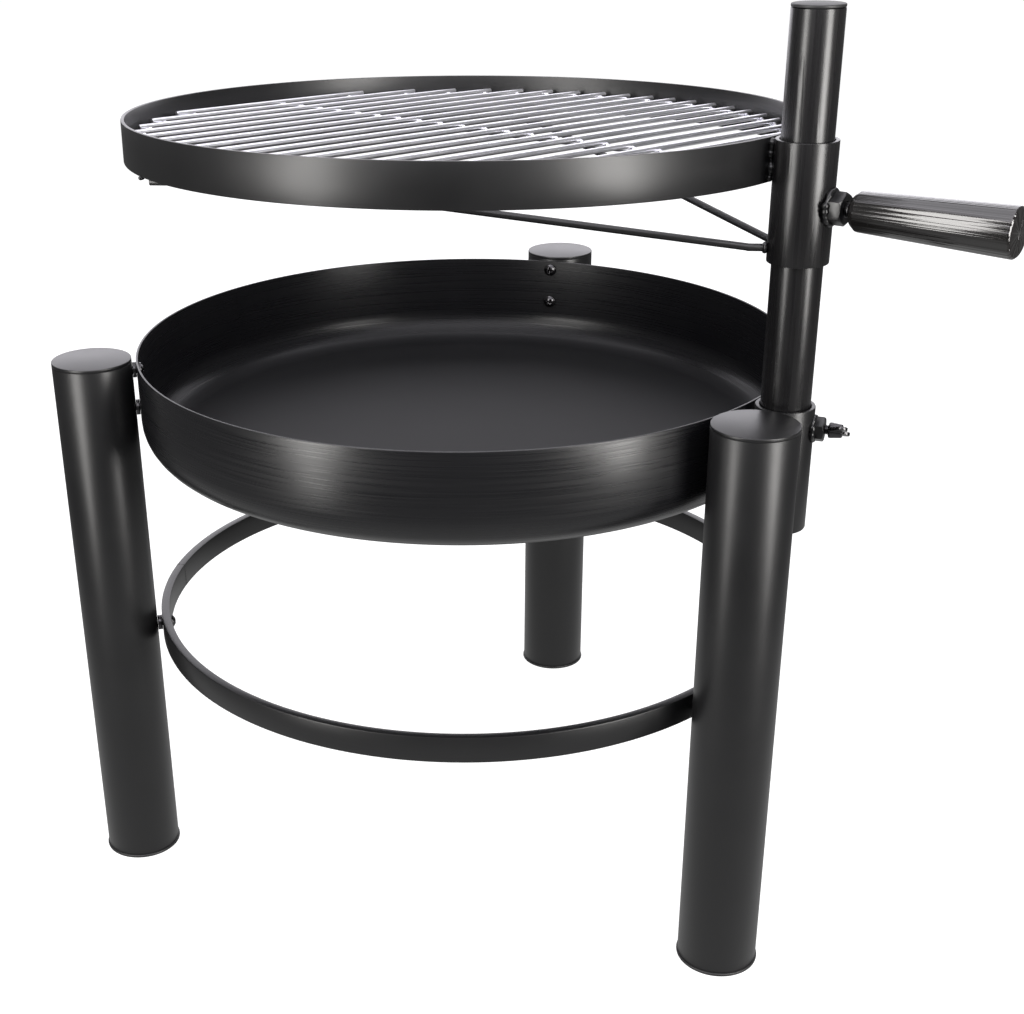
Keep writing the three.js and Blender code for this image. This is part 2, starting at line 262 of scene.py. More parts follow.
def turned(name, section, steps):
    """Spins a closed section of (radius, height) points, in millimetres, round the Z axis."""
    piece = begin("plane", name, size=MM, location=(section[0][0] * MM, 0, section[0][1] * MM))
    bpy.ops.mesh.merge(type="CENTER")
    here = section[0]
    for there in section[1:] + section[:1]:
        step = ((there[0] - here[0]) * MM, 0, (there[1] - here[1]) * MM)
        bpy.ops.mesh.extrude_region_move(TRANSFORM_OT_translate={"value": step})
        here = there
    bpy.ops.mesh.select_all(action="SELECT")
    bpy.ops.mesh.remove_doubles(threshold=0.001 * MM)
    bpy.ops.mesh.spin(steps=steps, angle=2 * math.pi, center=(0, 0, 0), axis=(0, 0, 1))
    close()
    return piece


def arc(centre, size, start, end, steps):
    """Points on a round stretch of a section, from one angle to another in degrees."""
    angles = [math.radians(start + (end - start) * i / steps) for i in range(steps + 1)]
    return [(centre[0] + size * math.cos(a), centre[1] + size * math.sin(a)) for a in angles]


def pipe(name, outer, inner, low, high, steps, edge):
    piece = turned(name, [(inner, low), (outer, low), (outer, high), (inner, high)], steps)
    return soften(piece, edge)


def disc(name, size, low, high, steps):
    return turned(name, [(0, low), (size, low), (size, high), (0, high)], steps)


# %% [markdown]
# A rod that bends, such as a brace, starts as a circle. Each straight run extrudes it, and each bend
# spins it round the bend's own centre, so the rod keeps its full thickness round the corner.

# %% Bending rod


ROD_SIDES = 20
BEND_STEPS = 6


def bent_rod(name, half, points, bend):
    """Sweeps a circle along straight runs with round bends. Points are in metres, sizes in millimetres."""
    piece = begin("circle", name, vertices=ROD_SIDES, radius=half * MM, fill_type="NOTHING")
    leave_edit()
    put(piece, pointing(points[0], (points[1] - points[0]).normalized()))
    bpy.ops.object.mode_set(mode="EDIT")
    bpy.ops.mesh.select_all(action="SELECT")
    spare = 0.0
    for i in range(1, len(points)):
        run = points[i] - points[i - 1]
        turn, cut_back, hinge = 0.0, 0.0, None
        if i + 1 < len(points):
            following = points[i + 1] - points[i]
            turn = run.angle(following)
            cut_back = bend * MM * math.tan(turn / 2)
            hinge = run.cross(following).normalized()
        straight = run.normalized() * (run.length - spare - cut_back)
        bpy.ops.mesh.extrude_region_move(TRANSFORM_OT_translate={"value": straight})
        if hinge is not None:
            start = points[i] - run.normalized() * cut_back
            centre = start + hinge.cross(run.normalized()) * bend * MM
            bpy.ops.mesh.spin(steps=BEND_STEPS, angle=turn, center=centre, axis=hinge)
        spare = cut_back
    bpy.ops.mesh.select_all(action="SELECT")
    bpy.ops.mesh.remove_doubles(threshold=0.001 * MM)
    pick(piece, "EDGE", lambda edge: edge.is_boundary)
    bpy.ops.mesh.fill_holes(sides=0)
    close()
    return soften(piece, 0.5, angle=60)


# %% [markdown]
# Weld beads are what tells a made thing from a drawn one. A bead is a row of overlapping drops of
# uneven size, so it is built from drops, melted into one skin by a voxel remesh, and smoothed.

# %% Welding
dice = random.Random(7)
DROP_STEP = 0.75        # from one drop to the next, as a share of the bead's half width
WANDER = 0.15           # how far a drop strays from the line, as a share of the same


def weld(name, route, size, voxel=0.7, uneven=0.28):
    """A lumpy bead along points in metres. Size is the bead's half width in millimetres."""
    drops = []
    for start, end in zip(route, route[1:]):
        count = max(1, round((end - start).length / (size * DROP_STEP * MM)))
        for i in range(count + 1):
            place = start.lerp(end, i / count)
            fat = size * MM * (1 + dice.uniform(-uneven, uneven))
            wander = Vector([dice.uniform(-WANDER, WANDER) * size * MM for _axis in "xyz"])
            drops.append(begin("ico_sphere", "drop", subdivisions=2, radius=fat, location=place + wander))
            leave_edit()
    bead = merged(name, drops)
    modify(bead, "REMESH", mode="VOXEL", voxel_size=voxel * MM, use_smooth_shade=True)
    return modify(bead, "SMOOTH", factor=0.5, iterations=3)


# %% [markdown]
# ## Colours and nodes
# Colours are written as they would be picked from a paint card and turned to linear light by one
# function. One more function adds a node, sets it and links it, so a material reads as a list.

# %% Colour and node helpers


def paint(hex_colour):
    """An sRGB hex colour as linear RGBA."""
    parts = [int(hex_colour[i:i + 2], 16) / 255 for i in (1, 3, 5)]
    return (*[c / 12.92 if c <= 0.04045 else ((c + 0.055) / 1.055) ** 2.4 for c in parts], 1)


def add(tree, kind, inputs=None, **options):
    """Adds a node. An input is a plain value, or a pair of (node, output) to link from."""
    node = tree.nodes.new("ShaderNode" + kind)
    for key, value in options.items():
        setattr(node, key, value)
    for key, value in (inputs or {}).items():
        if isinstance(value, tuple) and isinstance(value[0], bpy.types.Node):
            tree.links.new(value[0].outputs[value[1]], node.inputs[key])
        else:
            node.inputs[key].default_value = value
    return node


def new_finish(name):
    """A material with an empty node tree, and its object coordinates."""
    material = bpy.data.materials.new(name)
    material.use_nodes = True
    tree = material.node_tree
    tree.nodes.clear()
    return material, tree, add(tree, "TexCoord")


def finish_with(tree, shader):
    add(tree, "OutputMaterial", {"Surface": (shader, "BSDF")})


def per_metre(size_mm):
    """The texture scale whose pattern repeats at about this size."""
    return 1 / (size_mm * MM)


def blended(tree, dark, light, factor):
    """A colour between two, driven by a node's output."""
    mix = add(tree, "Mix", data_type="RGBA")
    mix.inputs[6].default_value = paint(dark)
    mix.inputs[7].default_value = paint(light)
    tree.links.new(factor[0].outputs[factor[1]], mix.inputs[0])
    return mix


def ranged(tree, value, low, high):
    return add(tree, "MapRange", {"Value": value, "To Min": low, "To Max": high})


# %% [markdown]
# ## Satin powder coat
# The legs, ring, hoop, braces and welds are powder-coated steel: black pigment in a baked resin, so
# an IOR of 1.5 and no metal. The powder melts into a very fine orange peel about a millimetre
# across, and flows a little thicker here and there, which moves the gloss more than the colour.

# %% Satin powder coat
PEEL = 1.1      # millimetres across one bump of the orange peel
CLOUD = 60      # millimetres across a thick or thin patch


def powder_coat(name, dark, light, gloss, peel_depth):
    material, tree, place = new_finish(name)
    peel = add(tree, "TexNoise", {"Vector": (place, "Object"), "Scale": per_metre(PEEL), "Detail": 2.0})
    cloud = add(tree, "TexNoise", {"Vector": (place, "Object"), "Scale": per_metre(CLOUD), "Detail": 4.0})
    rough = ranged(tree, (cloud, 0), gloss - 0.05, gloss + 0.06)
    colour = blended(tree, dark, light, (cloud, 0))
    bump = add(tree, "Bump", {"Height": (peel, 0), "Strength": 0.35, "Distance": peel_depth * MM})
    shader = add(tree, "BsdfPrincipled", {
        "Base Color": (colour, 2), "Roughness": (rough, 0), "Normal": (bump, 0), "IOR": 1.5})
    finish_with(tree, shader)
    return material


satin_black = powder_coat("satin_black_powder_coat", "#0b0b0c", "#121213", 0.36, 0.05)
weld_black = powder_coat("painted_weld", "#0a0a0b", "#121213", 0.28, 0.08)

# %% [markdown]
# ## Glossy tube paint
# The mast and the collar are drawn tube under a wetter, glossier paint. Drawing leaves faint lines
# along the tube, and the paint has run here and there before it dried, in long thin tears.

# %% Glossy tube paint
DRAW_LINE = (2.0, 90)   # millimetres across and along one drawing line
TEAR = (9, 70)          # millimetres across and along one paint run
TEAR_LIMITS = (0.62, 0.75)  # the noise between which a run rises, so that runs are rare


def stretched(tree, place, across, along):
    """Noise that is drawn out along Z."""
    size = (per_metre(across), per_metre(across), per_metre(along))
    mapping = add(tree, "Mapping", {"Vector": (place, "Object"), "Scale": size})
    return add(tree, "TexNoise", {"Vector": (mapping, 0), "Scale": 1.0, "Detail": 2.0})


def tube_paint(name):
    material, tree, place = new_finish(name)
    lines = stretched(tree, place, *DRAW_LINE)
    tears = stretched(tree, place, *TEAR)
    run = add(tree, "MapRange", {
        "Value": (tears, 0), "From Min": TEAR_LIMITS[0], "From Max": TEAR_LIMITS[1]})
    rough = ranged(tree, (lines, 0), 0.2, 0.36)
    colour = blended(tree, "#0a0a0b", "#131213", (lines, 0))
    fine = add(tree, "Bump", {"Height": (lines, 0), "Strength": 0.25, "Distance": 0.05 * MM})
    bump = add(tree, "Bump", {
        "Height": (run, 0), "Strength": 0.5, "Distance": 0.25 * MM, "Normal": (fine, 0)})
    shader = add(tree, "BsdfPrincipled", {
        "Base Color": (colour, 2), "Roughness": (rough, 0), "Normal": (bump, 0), "IOR": 1.5})
    finish_with(tree, shader)
    return material


gloss_black = tube_paint("glossy_tube_paint")

# %% [markdown]
# ## Stove paint on spun sheet
# The bowl was pressed over a turning former. The roller left fine level lines round the wall, which
# break a highlight into thin streaks, and almost none on the floor, where the paint also dried
# rougher. Radius and height from the bowl's axis, not X and Y, drive the pattern. Faces that look
# inwards got a drier coat and mirror less.

# %% Stove paint
RING_MARK = 1.3         # millimetres between roller marks, coarser than real so that they show
RING_FADE = 26          # degrees round the bowl over which one mark comes and goes
WALL_FROM = 4           # millimetres above the bowl's foot where the wall's marks begin


def spun_paint(name):
    material, tree, place = new_finish(name)
    centred = add(tree, "Mapping", {"Vector": (place, "Object"), "Location": tuple(-bowl_axis)})
    split = add(tree, "SeparateXYZ", {"Vector": (centred, 0)})
    flat = add(tree, "CombineXYZ", {"X": (split, "X"), "Y": (split, "Y")})
    out = add(tree, "VectorMath", {0: (flat, 0)}, operation="LENGTH")
    turn = add(tree, "Math", {0: (split, "Y"), 1: (split, "X")}, operation="ARCTAN2")
    around = add(tree, "Math", {0: (turn, 0), 1: 1 / math.radians(RING_FADE)}, operation="MULTIPLY")
    outward = add(tree, "Math", {0: (out, "Value"), 1: per_metre(RING_MARK)}, operation="MULTIPLY")
    upward = add(tree, "Math", {0: (split, "Z"), 1: per_metre(RING_MARK)}, operation="MULTIPLY")
    coords = add(tree, "CombineXYZ", {"X": (outward, 0), "Y": (around, 0), "Z": (upward, 0)})
    marks = add(tree, "TexNoise", {"Vector": (coords, 0), "Scale": 1.0, "Detail": 3.0})
    cloud = add(tree, "TexNoise", {"Vector": (place, "Object"), "Scale": per_metre(CLOUD), "Detail": 3.0})
    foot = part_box("fire_bowl")[0].z
    wall = add(tree, "MapRange", {"Value": (split, "Z"), "From Min": foot + WALL_FROM * MM,
                                  "From Max": foot + 2 * WALL_FROM * MM})
    streaks = ranged(tree, (marks, 0), 0.14, 0.46)
    rough = add(tree, "Mix", {0: (wall, 0), 2: 0.58, 3: (streaks, 0)})
    depth = ranged(tree, (wall, 0), 0.06, 0.6)
    facing = add(tree, "VectorMath", {0: (flat, 0), 1: (place, "Normal")}, operation="DOT_PRODUCT")
    shine = add(tree, "MapRange", {
        "Value": (facing, "Value"), "From Max": 0.05, "To Min": 0.2, "To Max": 0.5})
    colour = blended(tree, "#08080a", "#101012", (cloud, 0))
    bump = add(tree, "Bump", {"Height": (marks, 0), "Strength": (depth, 0), "Distance": 0.06 * MM})
    shader = add(tree, "BsdfPrincipled", {
        "Base Color": (colour, 2), "Roughness": (rough, 0), "Normal": (bump, 0), "IOR": 1.5,
        "Specular IOR Level": (shine, 0)})
    finish_with(tree, shader)
    return material


bowl_black = spun_paint("matt_stove_paint")

# %% [markdown]
# ## Moulded polyethylene, blackened steel, chrome and lacquer
# The foot and mast plugs are moulded polyethylene with a fine spark texture. Screws and studs are
# steel with a thin black oxide, so they keep a metal's sheen. The grid is bright chrome over drawn
# wire: nearly white, with slight waves from the plating. The grip is turned wood under glossy
# lacquer, and its long grain still shows as fine streaks in the shine.

# %% Plastic


def moulded_plastic(name):
    material, tree, place = new_finish(name)
    spark = add(tree, "TexNoise", {"Vector": (place, "Object"), "Scale": per_metre(0.6), "Detail": 3.0})
    rough = ranged(tree, (spark, 0), 0.42, 0.6)
    colour = blended(tree, "#131314", "#1d1d1e", (spark, 0))
    bump = add(tree, "Bump", {"Height": (spark, 0), "Strength": 0.5, "Distance": 0.06 * MM})
    shader = add(tree, "BsdfPrincipled", {
        "Base Color": (colour, 2), "Roughness": (rough, 0), "Normal": (bump, 0), "IOR": 1.51})
    finish_with(tree, shader)
    return material


black_plastic = moulded_plastic("moulded_polyethylene")

# %% Blackened steel and chrome


def metal(name, dark, light, low_rough, high_rough, patch, waves):
    material, tree, place = new_finish(name)
    cloud = add(tree, "TexNoise", {"Vector": (place, "Object"), "Scale": per_metre(patch), "Detail": 4.0})
    fine = add(tree, "TexNoise", {"Vector": (place, "Object"), "Scale": per_metre(0.4), "Detail": 2.0})
    rough = ranged(tree, (cloud, 0), low_rough, high_rough)
    colour = blended(tree, dark, light, (cloud, 0))
    bump = add(tree, "Bump", {"Height": (fine, 0), "Strength": 0.3, "Distance": waves * MM})
    shader = add(tree, "BsdfPrincipled", {
        "Base Color": (colour, 2), "Metallic": 1.0, "Roughness": (rough, 0), "Normal": (bump, 0)})
    finish_with(tree, shader)
    return material


black_oxide = metal("black_oxide_steel", "#303032", "#5a595a", 0.14, 0.32, 6, 0.03)
chrome = metal("bright_chrome", "#e8e8ee", "#f8f8fc", 0.26, 0.38, 25, 0.01)

# %% Lacquered wood
GRAIN = (0.7, 60)       # millimetres across and along one pore line of the wood
RIDGE_TURN = 22         # degrees round the grip across one turning ridge
RIDGE_RUN = 2000        # millimetres along it


def lacquered_wood(name, origin, axis):
    """Ridges and pores run along the grip, so the coordinates are turned to the grip's own axis."""
    material, tree, place = new_finish(name)
    turn = axis.to_track_quat("Z", "Y").inverted()
    square = add(tree, "Mapping", {"Vector": (place, "Object"), "Rotation": tuple(turn.to_euler()),
                                   "Location": tuple(-(turn @ origin))})
    size = (per_metre(GRAIN[0]), per_metre(GRAIN[0]), per_metre(GRAIN[1]))
    drawn = add(tree, "Mapping", {"Vector": (square, 0), "Scale": size})
    grain = add(tree, "TexNoise", {"Vector": (drawn, 0), "Scale": 1.0, "Detail": 2.0})
    split = add(tree, "SeparateXYZ", {"Vector": (square, 0)})
    flat = add(tree, "CombineXYZ", {"X": (split, "X"), "Y": (split, "Y")})
    spoke = add(tree, "VectorMath", {0: (flat, 0)}, operation="NORMALIZE")
    ridges_per_turn = 1 / math.radians(RIDGE_TURN)
    round_it = add(tree, "VectorMath", {0: (spoke, 0), "Scale": ridges_per_turn}, operation="SCALE")
    along = add(tree, "Math", {0: (split, "Z"), 1: per_metre(RIDGE_RUN)}, operation="MULTIPLY")
    rise = add(tree, "CombineXYZ", {"Z": (along, 0)})
    coords = add(tree, "VectorMath", {0: (round_it, 0), 1: (rise, 0)}, operation="ADD")
    ridges = add(tree, "TexNoise", {"Vector": (coords, 0), "Scale": 1.0, "Detail": 3.0})
    rough = ranged(tree, (ridges, 0), 0.06, 0.2)
    colour = blended(tree, "#060606", "#1c1a19", (grain, 0))
    fine = add(tree, "Bump", {"Height": (grain, 0), "Strength": 0.2, "Distance": 0.03 * MM})
    bump = add(tree, "Bump", {
        "Height": (ridges, 0), "Strength": 0.9, "Distance": 2.4 * MM, "Normal": (fine, 0)})
    shader = add(tree, "BsdfPrincipled", {
        "Base Color": (colour, 2), "Roughness": (rough, 0), "Normal": (bump, 0), "IOR": 1.52,
        "Coat Weight": 0.5, "Coat Roughness": 0.08, "Coat Normal": (bump, 0)})
    finish_with(tree, shader)
    return material


grip_axis = axis_of["grip_turn"]
clamp_origin = level(mast_axis) + UP * middle("grip").z
lacquer = lacquered_wood("black_lacquered_wood", clamp_origin, grip_axis)

# %% [markdown]
# ## Handing over
# A finished piece gets smooth shading up to a limit angle, its material, and the body of the CAD node
# that it stands for. A weld stands for no node, so it names its body itself.


def smooth(piece, material, limit):
    only(piece)
    bpy.ops.object.shade_smooth_by_angle(angle=math.radians(limit))
    piece.data.materials.clear()
    piece.data.materials.append(material)


def stands_for(piece, node, material, limit=40):
    smooth(piece, material, limit)
    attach(piece, body_with[node])
    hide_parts(node)
    return piece


def extra(piece, body, material, limit=60):
    smooth(piece, material, limit)
    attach(piece, body)
    return piece


# %% [markdown]
# ## Legs
# A leg is a length of thick round tube with a flat plate welded in its top and ground flush, and a
# plug pushed in its foot. All three are alike, so one of each is turned and then copied. The plug's
# flange is a little wider than the tube and shows as a thin ring at the ground.

# %% Legs
LEGS = ("mast_leg", "back_leg", "left_leg")
LEG_WALL = 3
PLUG_EDGE = 1.2
PLUG_ROOM = 0.4         # between the foot plug and the tube's bore
GAP = 0.3               # between pieces that touch
FINE = 96               # steps round a tube
HOOP_STEPS = 192        # steps round the bowl, ring and hoop
tube_low = heights("mast_leg_tube")[0]
cap_low, cap_high = heights("mast_leg_top_cap")
foot_low, foot_high = heights("mast_leg_foot_plug")
leg_size = radius("mast_leg_top_cap")
foot_size = radius("mast_leg_foot_plug")
flange_top = tube_low - GAP

leg_tube = pipe("leg_tube", leg_size, leg_size - LEG_WALL, tube_low, cap_low, FINE, edge=0.25)
leg_cap = disc("leg_cap", leg_size, cap_low, cap_high, FINE)
soften(leg_cap, 0.7, 3)
spigot = leg_size - LEG_WALL - PLUG_ROOM
foot_plug = turned("foot_plug", [
    (0, foot_low), (foot_size, foot_low), (foot_size, flange_top), (spigot, flange_top),
    (spigot, foot_high), (0, foot_high)], FINE)
soften(foot_plug, PLUG_EDGE, 3)

for leg in LEGS:
    here = Matrix.Translation(level(middle(f"{leg}_top_cap")))
    for part, shape, material in (("tube", leg_tube, satin_black), ("top_cap", leg_cap, satin_black),
                                  ("foot_plug", foot_plug, black_plastic)):
        copy = put(twin(shape, f"{leg}_{part}_made"), here)
        stands_for(copy, f"{leg}_{part}", material)
for shape in (leg_tube, leg_cap, foot_plug):
    bpy.data.objects.remove(shape)
print("legs are", round(cap_high), "mm tall and", round(2 * leg_size), "mm thick")

# %% [markdown]
# ## Bowl
# The bowl is one sheet: a flat floor, a round corner and an upright wall with a plain cut rim. Its
# section is drawn once round the outside and once back along the inside, with both corners as arcs
# about one centre, so the sheet has the same thickness everywhere.

# %% Bowl
SHEET = 2
CORNER = 32
CORNER_STEPS = 10
floor_low, rim = heights("fire_bowl")
bowl_size = radius("fire_bowl")
corner_at = (bowl_size - CORNER, floor_low + CORNER)
bowl_section = [
    (0, floor_low), *arc(corner_at, CORNER, -90, 0, CORNER_STEPS), (bowl_size, rim),
    (bowl_size - SHEET, rim), *arc(corner_at, CORNER - SHEET, 0, -90, CORNER_STEPS),
    (0, floor_low + SHEET)]
bowl = turned("fire_bowl_made", bowl_section, HOOP_STEPS)
soften(bowl, 0.6, 3, 50)
put(bowl, Matrix.Translation(bowl_axis))
stands_for(bowl, "fire_bowl", bowl_black, 30)
print("bowl is", round(2 * bowl_size), "mm wide with", len(bowl.data.polygons), "faces")

# %% [markdown]
# ## Lower ring
# The ring is flat bar rolled into a hoop and butt welded. The joint was ground, but a low bead and a
# slight flat remain. The ring's edges are mill edges, rounded by about a millimetre.

# %% Lower ring
RING_BAR = 8
SEAM_ANGLE = 209        # degrees round the ring, between the left leg and the front
SEAM_BEAD = 1.1         # half the bead's width
SUNK = 0.7              # depth of the bead's middle line under the bar's faces
ring_low, ring_high = heights("lower_ring")
ring_size = radius("lower_ring")
ring_inner = ring_size - RING_BAR
ring = pipe("lower_ring_made", ring_size, ring_inner, ring_low, ring_high, HOOP_STEPS, edge=1.0)
put(ring, Matrix.Translation(bowl_axis))
stands_for(ring, "lower_ring", satin_black)

seam_way = Vector((math.cos(math.radians(SEAM_ANGLE)), math.sin(math.radians(SEAM_ANGLE)), 0))


def on_seam(out, height):
    return bowl_axis + seam_way * out * MM + UP * height * MM


seam_route = [
    on_seam(ring_size - SUNK, ring_low + 1), on_seam(ring_size - SUNK, ring_high - SUNK),
    on_seam(ring_inner + SUNK, ring_high - SUNK), on_seam(ring_inner + SUNK, ring_low + 1)]
seam = weld("lower_ring_seam", seam_route, SEAM_BEAD, voxel=0.4, uneven=0.15)
extra(seam, "root", weld_black)

# %% [markdown]
# ## Spacers and screws
# Each joint between bowl, ring, socket and leg is a pan head screw through a small round spacer. The
# heads sit inside the bowl and the ring, so they are seen: a low dome with a cross recess, which a
# tool of two tapered blades cuts out.

# %% Pan head screw
HEAD = (6.3, 4)         # radius and height
DOME = 7.2              # radius of the head's dome
SHANK = 3
POINT = 0.6             # chamfer at the shank's end
SCREW_LENGTH = 13
SPACER = (7, 3.4)       # radius outside and inside
BLADE = (2.2, 9.2, 5.2)  # width, length and depth of one arm of the cross, half of it in the air
BLADE_TAPER = 0.7


def pan_head_screw(name, length):
    """A screw along +Z whose head's flat side is at height 0."""
    size, tall = HEAD
    dome = arc((0, DOME - tall), DOME, -90, -42, 6)
    section = [
        *dome, (size, -tall * 0.35), (size, 0), (SHANK, 0), (SHANK, length - POINT),
        (SHANK - POINT, length), (0, length)]
    screw = turned(name, section, 32)
    blades = []
    for turn in (0, math.pi / 2):
        blade = begin("cube", "blade", size=MM, location=(0, 0, -tall * MM))
        bpy.ops.transform.resize(value=BLADE, center_override=(0, 0, -tall * MM))
        bpy.ops.transform.rotate(value=turn, orient_axis="Z", center_override=(0, 0, 0))
        pick(blade, "FACE", lambda face: face.normal.z > 0.9)
        bpy.ops.transform.resize(value=(BLADE_TAPER, BLADE_TAPER, 1), center_override=(0, 0, 0))
        leave_edit()
        blades.append(blade)
    for blade in blades:
        carve(screw, blade)
    return soften(screw, 0.25, 1, 50)


bowl_screw = pan_head_screw("bowl_screw", SCREW_LENGTH)
spacers = [node for node in frame["nodes"] if node.endswith("_spacer")]
for node in spacers:
    direction = (level(middle(node)) - bowl_axis).normalized()
    near, far = reach(node, bowl_axis, direction)
    axis_point = bowl_axis + UP * middle(node).z
    body = pipe(f"{node}_made", *SPACER, near, far, 32, edge=0.4)
    put(body, pointing(axis_point, direction))
    stands_for(body, node, black_oxide)

    screw_node = node.replace("_spacer", "_screw")
    start, end = reach(screw_node, bowl_axis, direction)
    screw = twin(bowl_screw, f"{screw_node}_made")
    roll = Matrix.Rotation(dice.uniform(0, math.pi), 4, "Z")
    put(screw, pointing(axis_point + direction * (start + HEAD[1]) * MM, direction) @ roll)
    stands_for(screw, screw_node, black_oxide)
bpy.data.objects.remove(bowl_screw)
print(len(spacers), "spacers and as many screws")

# %% [markdown]
# ## Mast socket
# The socket is a short sleeve with a plate in its foot. A nut is welded on its side for the wing
# screw. A hex nut starts as a six-sided cylinder, and a turned double cone cuts its chamfers.

# %% Socket and nuts


def hex_nut(name, across_corners, tall, bore):
    """A chamfered nut with its axis on Z and its foot at height 0."""
    size = across_corners / 2
    nut = begin("cylinder", name, vertices=6, radius=size * MM, depth=tall * MM,
                location=(0, 0, tall / 2 * MM))
    leave_edit()
    lens = turned("lens", [
        (bore, -0.1), (size * 0.84, -0.1), (size * 1.04, tall * 0.16), (size * 1.04, tall * 0.84),
        (size * 0.84, tall + 0.1), (bore, tall + 0.1)], 48)
    carve(nut, lens, "INTERSECT")
    return soften(nut, 0.3, 2, 25)


SLEEVE_BORE = 20.8
WING_NUT = (21, 4.4)    # across corners, and the bore's radius
socket_low, socket_high = heights("mast_socket_tube")
sleeve_size = radius("mast_socket_tube")
here = Matrix.Translation(mast_axis)
socket = pipe("mast_socket_tube_made", sleeve_size, SLEEVE_BORE, socket_low, socket_high, FINE, edge=0.7)
stands_for(put(socket, here), "mast_socket_tube", satin_black)
plate_low, plate_high = heights("mast_socket_floor")
plate_size = radius("mast_socket_floor")
plate = disc("mast_socket_floor_made", plate_size, plate_low, plate_high, 64)
soften(plate, 0.5)
stands_for(put(plate, here), "mast_socket_floor", satin_black)

wing_axis = axis_of["wing_turn"]
wing_origin = mast_axis + UP * middle("wing_boss_nut").z
near, far = reach("wing_boss_nut", wing_origin, wing_axis)
boss = hex_nut("wing_boss_nut_made", WING_NUT[0], far - near, WING_NUT[1])
stands_for(put(boss, pointing(wing_origin + wing_axis * near * MM, wing_axis)), "wing_boss_nut", weld_black)

# %% [markdown]
# ## Threads
# A thread is one tooth swept along a helix by the Screw modifier. Its two ragged ends are closed and
# then trimmed flat with bisect, which also gives the stud its true length.

# %% Threaded studs
M8 = (4, 1.25, 0.65)    # radius, pitch and depth of each thread
M12 = (6, 1.75, 0.95)


def threaded_stud(name, size, pitch, depth, low, high):
    """A threaded stud along Z between two heights. All sizes are in millimetres."""
    stud = begin("plane", name, size=MM, location=((size - depth) * MM, 0, (low - 2 * pitch) * MM))
    bpy.ops.mesh.merge(type="CENTER")
    tooth = [(0, 0.15), (depth, 0.35), (0, 0.15), (-depth, 0.35)]
    for out, rise in tooth:
        step = (out * MM, 0, rise * pitch * MM)
        bpy.ops.mesh.extrude_region_move(TRANSFORM_OT_translate={"value": step})
    leave_edit()
    turns = math.ceil((high - low) / pitch) + 3
    modify(stud, "SCREW", axis="Z", screw_offset=pitch * MM, iterations=turns, steps=24,
           render_steps=24, use_merge_vertices=True, merge_threshold=0.001 * MM)
    bpy.ops.object.mode_set(mode="EDIT")
    bpy.ops.mesh.select_all(action="SELECT")
    bpy.ops.mesh.remove_doubles(threshold=0.01 * MM)
    for height, side in ((low, "clear_inner"), (high, "clear_outer")):
        bpy.ops.mesh.select_all(action="SELECT")
        bpy.ops.mesh.bisect(plane_co=(0, 0, height * MM), plane_no=(0, 0, 1), use_fill=True, **{side: True})
    close(0.01)
    return stud


stud_near, stud_far = reach("wing_stud", wing_origin, wing_axis)
wing_stud = threaded_stud("wing_stud_made", *M8, stud_near, stud_far)
stands_for(put(wing_stud, pointing(wing_origin, wing_axis)), "wing_stud", black_oxide, 25)

# %% [markdown]
# ## Wing head
# The head is a small casting: a hub with two ears. Casting leaves no sharp inside corner, so the
# hub and the two ears are melted together by a fine voxel remesh and smoothed, which gives fillets.

# %% Wing head
WING_ROLL = 62          # degrees, the ears' turn about the screw
HUB = (6.4, 5.4, 11)    # radius at the foot, radius at the top, and length
EAR = ((5, 5.5, 4.6), (8.5, 8.0, 4.0), (12.2, 11.2, 4.6))  # each round lobe: out, along, radius
EAR_THICK = 3
head_near = reach("wing_head", wing_origin, wing_axis)[0]
hub_top = head_near + HUB[2]
hub = turned("hub", [
    (0, head_near), (HUB[0], head_near), (HUB[0], head_near + 2), (HUB[1], hub_top), (0, hub_top)], 40)
soften(hub, 0.8)
lobes = [hub]
for side in (1, -1):
    for out, along, size in EAR:
        lobes.append(begin(
            "cylinder", "lobe", vertices=32, radius=size * MM, depth=EAR_THICK * MM,
            location=(0, side * out * MM, (head_near + along) * MM), rotation=(0, math.pi / 2, 0)))
        leave_edit()
wing_head = merged("wing_head_made", lobes)
modify(wing_head, "REMESH", mode="VOXEL", voxel_size=0.45 * MM)
modify(wing_head, "SMOOTH", factor=0.5, iterations=4)
put(wing_head, pointing(wing_origin, wing_axis) @ Matrix.Rotation(math.radians(WING_ROLL), 4, "Z"))
stands_for(wing_head, "wing_head", black_oxide, 60)
print("wing head has", len(wing_head.data.polygons), "faces")

# %% [markdown]
# ## Mast
# The mast is a lighter tube than the legs. Its top is closed with a plain plug whose flange is as
# wide as the tube, and the foot has another one like it, hidden in the socket.

# %% Mast
MAST_WALL = 2.5
PLUG_FLANGE = 2.5
mast_low, mast_high = heights("mast_tube")
mast_size = radius("mast_tube")
mast = pipe("mast_tube_made", mast_size, mast_size - MAST_WALL, mast_low, mast_high, FINE, edge=0.3)
stands_for(put(mast, here), "mast_tube", gloss_black)
plug_size = mast_size - MAST_WALL - GAP
for node, flange_side in (("mast_top_plug", 1), ("mast_bottom_plug", -1)):
    low, high = heights(node)
    inner, outer = (low, high) if flange_side > 0 else (high, low)
    shoulder = outer - flange_side * PLUG_FLANGE
    plug = turned(f"{node}_made", [
        (0, outer), (mast_size, outer), (mast_size, shoulder), (plug_size, shoulder),
        (plug_size, inner), (0, inner)], FINE)
    soften(plug, 0.8, 3)
    stands_for(put(plug, here), node, black_plastic)

# %% [markdown]
# ## Collar and clamp
# The collar is a sleeve like the socket, but it slides. Its nut, stud and grip point the same way,
# so they share one axis. The grip is turned with a small chamfer at the stud and a taper that grows
# towards the hand.

